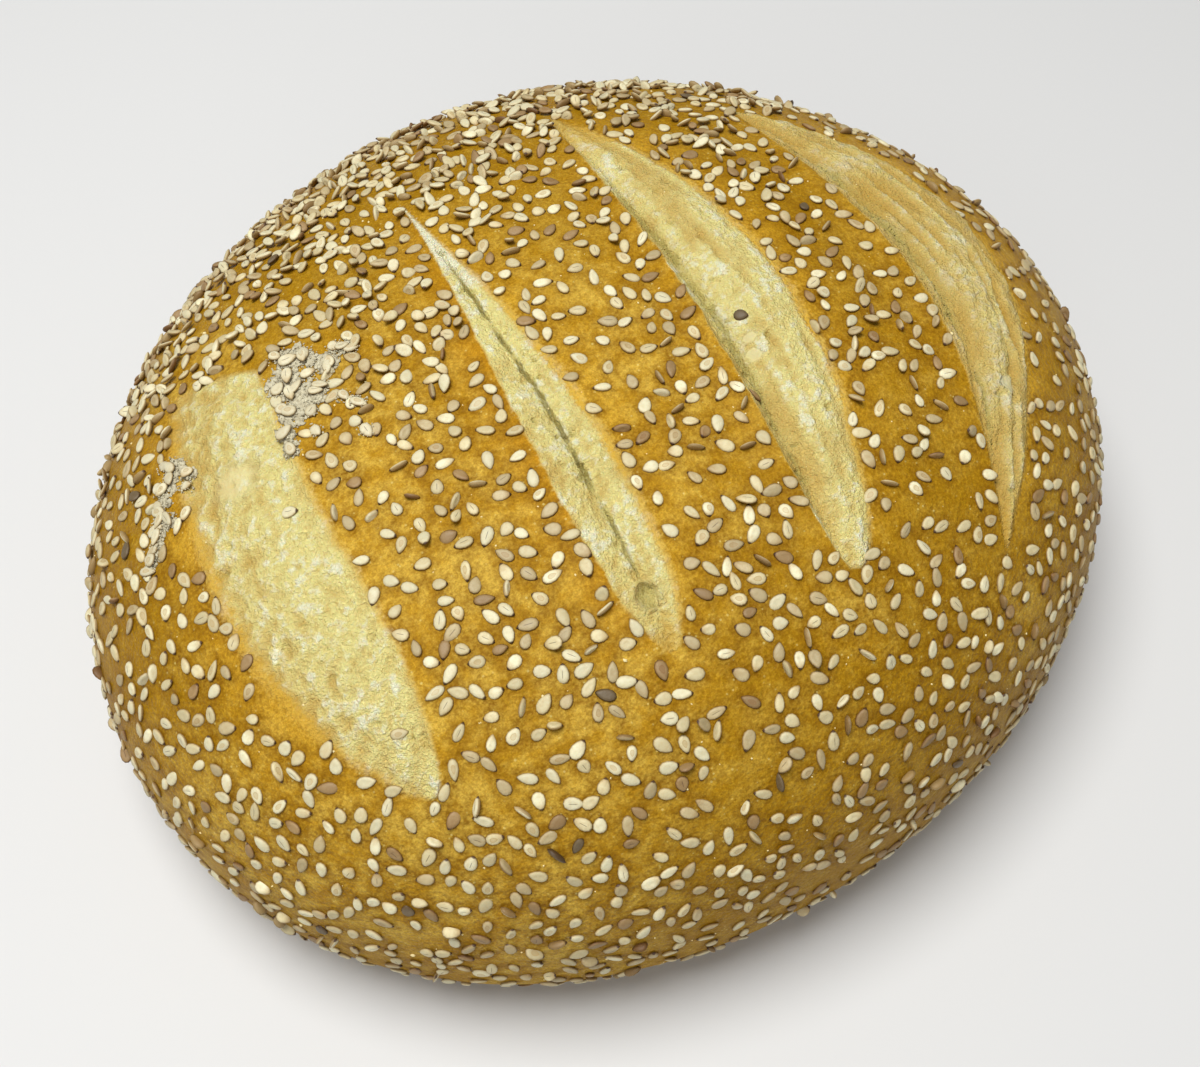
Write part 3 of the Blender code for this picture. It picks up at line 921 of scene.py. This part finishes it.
class Grid:
    """Finds what has been placed near a point."""

    def __init__(self, cell):
        self.cell = cell
        self.boxes = {}

    def key(self, place):
        return tuple(int(math.floor(c / self.cell)) for c in place)

    def nearest(self, place):
        kx, ky, kz = self.key(place)
        best = 9e9
        for dx in (-1, 0, 1):
            for dy in (-1, 0, 1):
                for dz in (-1, 0, 1):
                    for other in self.boxes.get((kx + dx, ky + dy, kz + dz), ()):
                        best = min(best, math.dist(place, other))
        return best

    def add(self, place):
        self.boxes.setdefault(self.key(place), []).append(place)


def choose_places(seeds, bread):
    """Random seed places: (place, normal, distance to the nearest seed placed before)."""
    generator = np.random.default_rng(23)
    places, normals, area = surface_samples(bread, generator, 40000)
    per_square_centimetre = len(places) / (area * 1e4)
    grid = Grid(4.0 * MM)
    chosen = []
    for place, normal, luck in zip(places, normals, generator.random(len(places))):
        density = seed_density(seeds, place)
        if luck * per_square_centimetre > CROWDING * density:
            continue
        space = 1.5 * MM + 2.6 * MM * (1 - min(density / seeds.dense, 1.0))
        near = grid.nearest(tuple(place))
        if near < space:
            continue
        grid.add(tuple(place))
        chosen.append((Vector(place), Vector(normal), near))
    return chosen


def lie(place, normal, heading, pitch, roll, lift):
    """The matrix that lays a seed on a surface, turned, tipped and lifted."""
    turn = normal.to_track_quat("Z", "Y").to_matrix()
    turn = turn @ Matrix.Rotation(heading, 3, "Z") @ Matrix.Rotation(pitch, 3, "Y")
    turn = turn @ Matrix.Rotation(roll, 3, "X")
    return place + normal * lift, turn


class SeedBatch:
    """Collects seeds of one kind into arrays."""

    def __init__(self, seeds, kind, tipped, marked, material):
        self.seeds = seeds
        self.kind = kind
        self.tipped = tipped
        self.marked = marked
        self.material = material
        self.shapes = [seed_mesh(dimple) for dimple in (0.05, 0.25, 0.45)]
        self.points, self.triangles, self.looks = [], [], []
        self.count = 0

    def add(self, place, normal, near, chance, heading=None, flat=False):
        seeds = self.seeds
        base, triangles, places = chance.choice(self.shapes)
        heading = chance.uniform(0, 2 * math.pi) if heading is None else heading
        pitch, roll = chance.gauss(0, 0.10), chance.gauss(0, 0.14)
        lift = 0.16 * seeds.thickness
        if near < TILT_REACH:
            pitch += chance.uniform(-0.6, 0.6)
            roll += chance.uniform(-0.5, 0.5)
            lift += chance.uniform(0.2, 0.9) * seeds.thickness
        if not flat and chance.random() < (0.16 if near < TILT_REACH else 0.08):
            roll = chance.choice((-1, 1)) * chance.uniform(1.1, 1.5)
            lift = 0.42 * seeds.width * 0.5
        size = np.array((
            seeds.length * chance.uniform(0.80, 1.15),
            seeds.width * chance.uniform(0.82, 1.14),
            seeds.thickness * chance.uniform(0.8, 1.15),
        )) / 2
        origin, turn = lie(place, normal, heading, pitch, roll, lift)
        self.points.append(base * size @ np.array(turn).T + np.array(origin))
        self.triangles.append(triangles + self.count)
        self.count += len(base)
        row = np.empty((len(base), len(SEED_LOOKS)))
        row[:, :3] = places
        row[:, 3] = chance.random()
        row[:, 4] = chance.random() < self.tipped
        odds = (1 - self.marked, self.marked / 2, self.marked / 2)
        row[:, 5] = chance.choices((0.0, RING, SLIT), odds)[0]
        self.looks.append(row)

    def finish(self, name):
        if not self.points:
            raise RuntimeError(f"No seed of kind {self.kind} found a place")
        piece = mesh_piece(
            name, np.concatenate(self.points), np.concatenate(self.triangles), self.material)
        add_looks(piece.data, SEED_LOOKS, np.concatenate(self.looks))


def scaled(colour, *factors):
    """A colour with each of its channels multiplied, up to 1."""
    return tuple(min(channel * factor, 1.0) for channel, factor in zip(colour, factors))


def seed_material(name, colour, tip, contrast, tip_share=0.95):
    """A seed's matt skin: uneven tint, painted shade on its edge, rim and underside, dark tip and, on some,
    a slit or a brown ring with painted shade of the dimple inside it.
    """
    paint = Paint(name, 0.55)
    paint.soften(0.08, (1.0, 0.7, 0.4), 0.5)
    warm, rim = scaled(colour, 0.72, 0.58, 0.42), scaled(colour, 0.42, 0.29, 0.15)
    tint, inward, lengthwise, mark = (
        paint.attribute(look) for look in ("tint", "inward", "lengthwise", "mark"))
    # A brown ring round the dimple, with painted shade of the dimple inside it
    ring = paint.times(
        paint.times(paint.band(inward, 0.26, 0.36, 0.45, 0.8), paint.band(inward, 0.38, 0.44, 1.0, 0.0)),
        paint.band(paint.calculate("PINGPONG", mark, RING), 0.4, 0.9))
    aside = paint.calculate("ABSOLUTE", paint.attribute("sideways"), 0.0)
    slit = paint.times(paint.band(aside, 0.02, 0.08, 0.7, 0.0), paint.band(inward, 0.25, 0.5, 1.0, 0.0))
    brownish = paint.times(paint.band(lengthwise, 0.0, 1.0, 0.0, 0.85), paint.band(tint, 0.5, 0.9))
    point = paint.times(paint.band(lengthwise, 0.72, 0.86), paint.attribute("tipped"))
    skin = paint.coat(
        tuple(channel * (1 - contrast) for channel in colour),
        (tint, scaled(colour, 1.14, 1.16, 1.2)),
        (paint.band(paint.grain(0.8), 0.35, 0.75, 0.0, 0.35), warm),
        # Painted shade on the seed's edge, and stronger on its rim and underside
        (paint.band(inward, 0.72, 0.9, 0.0, 0.3), warm),
        (paint.band(inward, 0.86, 1.0, 0.0, 0.85), rim),
        (ring, warm),
        (paint.times(slit, paint.band(mark, 1.4, 1.9)), tip),
        (brownish, warm),
        (paint.times(point, tip_share), tip),
    )
    paint.bump(paint.grain(0.35), 0.06)
    return paint.finish(skin)


def make_seeds(seeds, bread):
    chance = random.Random(5)
    batches = {}
    for kind, _, tipped, marked in SEED_KINDS:
        material = seed_material(f"{kind}_sesame", getattr(seeds, kind), seeds.tip, 0.18)
        batches[kind] = SeedBatch(seeds, kind, tipped, marked, material)
    kinds = [kind for kind, *_ in SEED_KINDS]
    shares = [share for _, share, *_ in SEED_KINDS]
    for place, normal, near in choose_places(seeds, bread):
        right = smooth_step(-20.0, 60.0, (0.64 * place.x - 0.77 * place.y) / MM)
        here = [share * (1 + right * more) for share, more in zip(shares, TANNER)]
        kind = chance.choices(kinds, here)[0]
        batches[kind].add(place, normal, near, chance)
    for x, y, heading, kind in STRAY_SEEDS:
        place, normal = drop(bread, x, y)
        batches[kind].add(place, normal, 1.0, chance, math.radians(heading), True)
    shade_near_seeds(bread, batches.values())
    for kind, batch in batches.items():
        batch.finish(f"{kind}_seeds")


def shade_near_seeds(bread, batches):
    """Stores on the bread how near each point is to the rim of a seed, from 0 to 1, for the painted shadow
    of the seeds on the crust together with the scorch of the crust against them.

    Where the seeds crowd together at the back, less of it is painted, and the crust between them is paler.
    """
    rims = [points for batch in batches for points in batch.points]
    tree = KDTree(sum(len(points) for points in rims))
    for index, point in enumerate(np.concatenate(rims)):
        tree.insert(point, index)
    tree.balance()
    near = []
    for vertex in bread.data.vertices:
        back = smooth_step(*BACK, (vertex.co.y - PLAN_CENTRE.y) / MM)
        near.append((smooth_step(1.3 * MM, 0.2 * MM, tree.find(vertex.co)[2]) * (1 - 0.65 * back),))
    add_looks(bread.data, ("seeded",), near)


def drop(bread, x, y):
    """The place and normal where a plan point in millimetres lands on the bread."""
    above = Vector((x * MM, y * MM, 0.2)) + PLAN_CENTRE
    found, place, normal, _ = bread.ray_cast(above, Vector((0.0, 0.0, -1.0)))
    if not found:
        raise RuntimeError(f"The plan point {x}, {y} misses the bread")
    return place, normal


class LOAF_OT_seeds(bpy.types.Operator):
    """Scatter sesame seeds over the crust"""

    bl_idname = "loaf.seeds"
    bl_label = "Sesame Seeds"
    bl_options = {"REGISTER", "UNDO"}

    def execute(self, context):
        make_seeds(context.scene.loaf_seeds, bpy.data.objects["crust_and_crumb"])
        return {"FINISHED"}


class Lumps:
    """Collects small rough lumps into arrays."""

    def __init__(self):
        self.points, self.triangles = [], []
        self.count = 0
        self.balls = {}

    def ball(self, subdivisions):
        if subdivisions not in self.balls:
            shape = bmesh.new()
            bmesh.ops.create_icosphere(shape, subdivisions=subdivisions, radius=1.0)
            points = [vertex.co.copy() for vertex in shape.verts]
            triangles = np.array([[vertex.index for vertex in face.verts] for face in shape.faces])
            shape.free()
            self.balls[subdivisions] = points, triangles
        return self.balls[subdivisions]

    def add(self, place, normal, size, flatness, roughness, subdivisions, chance):
        directions, triangles = self.ball(subdivisions)
        key = Vector((chance.uniform(0, 50), chance.uniform(0, 50), chance.uniform(0, 50)))
        turn = normal.to_track_quat("Z", "Y").to_matrix()
        turn = turn @ Matrix.Rotation(chance.uniform(0, 6.3), 3, "Z")
        stretch = size * Vector((chance.uniform(0.8, 1.3), chance.uniform(0.7, 1.0), flatness))
        made = []
        for direction in directions:
            swell = 1 + roughness * noise.fractal(direction * 1.6 + key, 0.6, 2.0, 3)
            made.append((turn @ (direction * swell * stretch) + place)[:])
        self.points.append(np.array(made))
        self.triangles.append(triangles + self.count)
        self.count += len(made)

    def finish(self, name, material):
        mesh_piece(name, np.concatenate(self.points), np.concatenate(self.triangles), material)


def flour_material(flour):
    """Dry, chalky flour, with a greyer painted shade mixed through it by noise, meant for between the
    lumps.
    """
    paint = Paint("dried_flour", 0.95)
    blotchy = paint.band(paint.grain(1.4, 5.0, 0.65), 0.35, 0.65)
    fine = paint.grain(0.3, 4.0, 0.65)
    # The greyer colour is painted shade
    shade = flour.flour_shade
    colour = paint.coat(shade, (blotchy, flour.flour), (paint.band(fine, 0.3, 0.6, 0.35, 0.0), shade))
    paint.bump(fine, 0.25)
    return paint.finish(colour)


def beside(bread, x, y, turn, away):
    """The place and normal where a point at a distance and an angle from a plan point lands."""
    return drop(bread, x + away * math.cos(turn), y + away * math.sin(turn))


def make_flour(flour, seeds, bread):
    chance = random.Random(31)
    lumps = Lumps()
    for x, y, radius in FLOUR_BLOTS:
        for _ in range(int(6 + 6.5 * radius * radius)):
            turn, share = chance.uniform(0, 2 * math.pi), math.sqrt(chance.random())
            place, normal = beside(bread, x, y, turn, share * radius)
            size = chance.uniform(0.35, 0.95) * MM * (1.15 - 0.5 * share)
            lumps.add(place + normal * 0.1 * MM, normal, size, 0.5, 0.9, 2, chance)
        for _ in range(int(26 * radius)):
            turn = chance.uniform(0, 2 * math.pi)
            away = radius * chance.uniform(0.2, 1.3)
            place, normal = beside(bread, x, y, turn, away)
            height = chance.uniform(0.0, 0.9) * MM * (1.3 - away / radius)
            lumps.add(place + normal * height, normal, chance.uniform(0.08, 0.26) * MM, 0.8, 0.5, 1, chance)
    colour = tuple(0.6 * a + 0.4 * b for a, b in zip(flour.flour, seeds.cream))
    material = seed_material("floury_sesame", colour, seeds.tip, 0.2, 0.3)
    batch = SeedBatch(seeds, "floury", 0.3, 0.6, material)
    caked = [(x + chance.uniform(-0.4, 0.4) * radius, y + chance.uniform(-0.4, 0.4) * radius,
              chance.uniform(0.0, 360.0)) for x, y, radius in FLOUR_BLOTS]
    for x, y, heading in [*FLOURY_SEEDS, *caked]:
        place, normal = drop(bread, x, y)
        height = 0.75 if flour_gap(x, y) < 0.0 else 0.3
        batch.add(place + normal * height * MM, normal, 1.0, chance, math.radians(heading), True)
        for _ in range(26):
            turn, away = chance.uniform(0, 2 * math.pi), chance.uniform(0.7, 1.7)
            spot, up = beside(bread, x, y, turn, away)
            raised = chance.uniform(0.1, 0.8) * MM
            lumps.add(spot + up * raised, up, chance.uniform(0.09, 0.25) * MM, 0.8, 0.5, 1, chance)
    lumps.finish("dried_flour", flour_material(flour))
    batch.finish("floury_seeds")


class LOAF_OT_flour(bpy.types.Operator):
    """Crumble dried flour, with the seeds caught in it, onto the crust"""

    bl_idname = "loaf.flour"
    bl_label = "Dried Flour"
    bl_options = {"REGISTER", "UNDO"}

    def execute(self, context):
        scene = context.scene
        make_flour(scene.loaf_flour, scene.loaf_seeds, bpy.data.objects["crust_and_crumb"])
        return {"FINISHED"}


def make_crumbs(flour, bread):
    chance = random.Random(47)
    generator = np.random.default_rng(3)
    places, normals, _ = surface_samples(bread, generator, 3 * flour.crumb_count)
    lumps = Lumps()
    made = 0
    for place, normal in zip(places, normals):
        if place[2] < 12 * MM or made == flour.crumb_count:
            continue
        size = chance.uniform(0.07, 0.2) * MM * (2.0 if chance.random() < 0.06 else 1.0)
        lumps.add(Vector(place), Vector(normal), size, 0.9, 0.5, 2, chance)
        made += 1
    paint = Paint("stray_crumbs", 0.8)
    grain = paint.band(paint.grain(0.6), 0.3, 0.7)
    paint.bump(paint.grain(0.2), 0.08)
    pale = scaled(flour.crumb_colour, 1.12, 1.12, 1.12)
    lumps.finish("stray_crumbs", paint.finish(paint.coat(flour.crumb_colour, (grain, pale))))


class LOAF_OT_crumbs(bpy.types.Operator):
    """Sprinkle tiny crumbs over the crust"""

    bl_idname = "loaf.crumbs"
    bl_label = "Stray Crumbs"
    bl_options = {"REGISTER", "UNDO"}

    def execute(self, context):
        make_crumbs(context.scene.loaf_flour, bpy.data.objects["crust_and_crumb"])
        return {"FINISHED"}


# The camera looks down on the loaf from the front left
CAMERA_PLACE = Vector((-78.5 * MM, -146.4 * MM, 286.5 * MM))
CAMERA_AIM = Vector((-6.6 * MM, -13.3 * MM, 35.0 * MM))

# The two lights: place and width, and the fill light's share of the key light's power
KEY_PLACE, KEY_SIZE = Vector((-0.16, 0.04, 0.98)), 0.55
FILL_PLACE, FILL_SIZE = Vector((-0.6, -0.7, 0.7)), 0.8
FILL_SHARE = 0.18
LIGHT_AIM = Vector((0.0, 0.0, 0.04))
FLOOR_SIZE = 6.0


def add_light(name, place, size, power):
    light = bpy.data.lights.new(name, "AREA")
    light.shape = "DISK"
    light.size = size
    light.energy = power
    lamp = bpy.data.objects.new(name, light)
    lamp.location = place
    lamp.rotation_euler = (place - LIGHT_AIM).to_track_quat("Z", "Y").to_euler()
    bpy.context.scene.collection.objects.link(lamp)


def make_stage(stage):
    scene = bpy.context.scene
    bpy.ops.mesh.primitive_plane_add(size=FLOOR_SIZE, location=(0.0, 0.0, 0.0))
    floor = bpy.context.object
    floor.name = "studio_floor"
    paint = Paint("pale_floor", 0.7)
    paint.shader.inputs["Base Color"].default_value = (*stage.floor_colour, 1.0)
    floor.data.materials.append(paint.material)
    add_light("key", KEY_PLACE, KEY_SIZE, stage.key_power)
    add_light("fill", FILL_PLACE, FILL_SIZE, stage.key_power * FILL_SHARE)
    world = bpy.data.worlds.new("surround")
    world.use_nodes = True
    background = world.node_tree.nodes["Background"]
    background.inputs["Color"].default_value = (1.0, 1.0, 1.0, 1.0)
    background.inputs["Strength"].default_value = stage.surround
    scene.world = world
    lens = bpy.data.cameras.new("camera")
    lens.lens = stage.focal_length
    lens.sensor_width = 36.0
    lens.clip_start = 0.01
    camera = bpy.data.objects.new("camera", lens)
    camera.location = CAMERA_PLACE
    camera.rotation_euler = (CAMERA_AIM - CAMERA_PLACE).to_track_quat("-Z", "Y").to_euler()
    scene.collection.objects.link(camera)
    scene.camera = camera
    scene.view_settings.view_transform = "Standard"


class LOAF_OT_stage(bpy.types.Operator):
    """Set up the floor, the soft light and the camera"""

    bl_idname = "loaf.stage"
    bl_label = "Stage"
    bl_options = {"REGISTER", "UNDO"}

    def execute(self, context):
        make_stage(context.scene.loaf_stage)
        return {"FINISHED"}


class LOAF_PT_sidebar(bpy.types.Panel):
    """Loaf tools"""

    bl_label = "Seeded Hearth Loaf"
    bl_space_type = "VIEW_3D"
    bl_region_type = "UI"
    bl_category = "Loaf"

    def draw(self, context):
        for operator in OPERATORS:
            self.layout.operator(operator.bl_idname)
        for group in SETTINGS:
            settings = getattr(context.scene, group)
            for name in settings.__annotations__:
                self.layout.prop(settings, name)


OPERATORS = (LOAF_OT_bread, LOAF_OT_seeds, LOAF_OT_flour, LOAF_OT_crumbs, LOAF_OT_stage)
SETTINGS = {
    "loaf_crust": CrustSettings,
    "loaf_seeds": SeedSettings,
    "loaf_flour": FlourSettings,
    "loaf_stage": StageSettings,
}


def register():
    for cls in (*SETTINGS.values(), *OPERATORS, LOAF_PT_sidebar):
        bpy.utils.register_class(cls)
    for name, group in SETTINGS.items():
        setattr(bpy.types.Scene, name, PointerProperty(type=group))


def unregister():
    for name in SETTINGS:
        delattr(bpy.types.Scene, name)
    for cls in reversed((*SETTINGS.values(), *OPERATORS, LOAF_PT_sidebar)):
        bpy.utils.unregister_class(cls)


def main():
    register()
    bpy.ops.loaf.bread()
    bpy.ops.loaf.seeds()
    bpy.ops.loaf.flour()
    bpy.ops.loaf.crumbs()
    bpy.ops.loaf.stage()


if __name__ == "__main__":
    main()
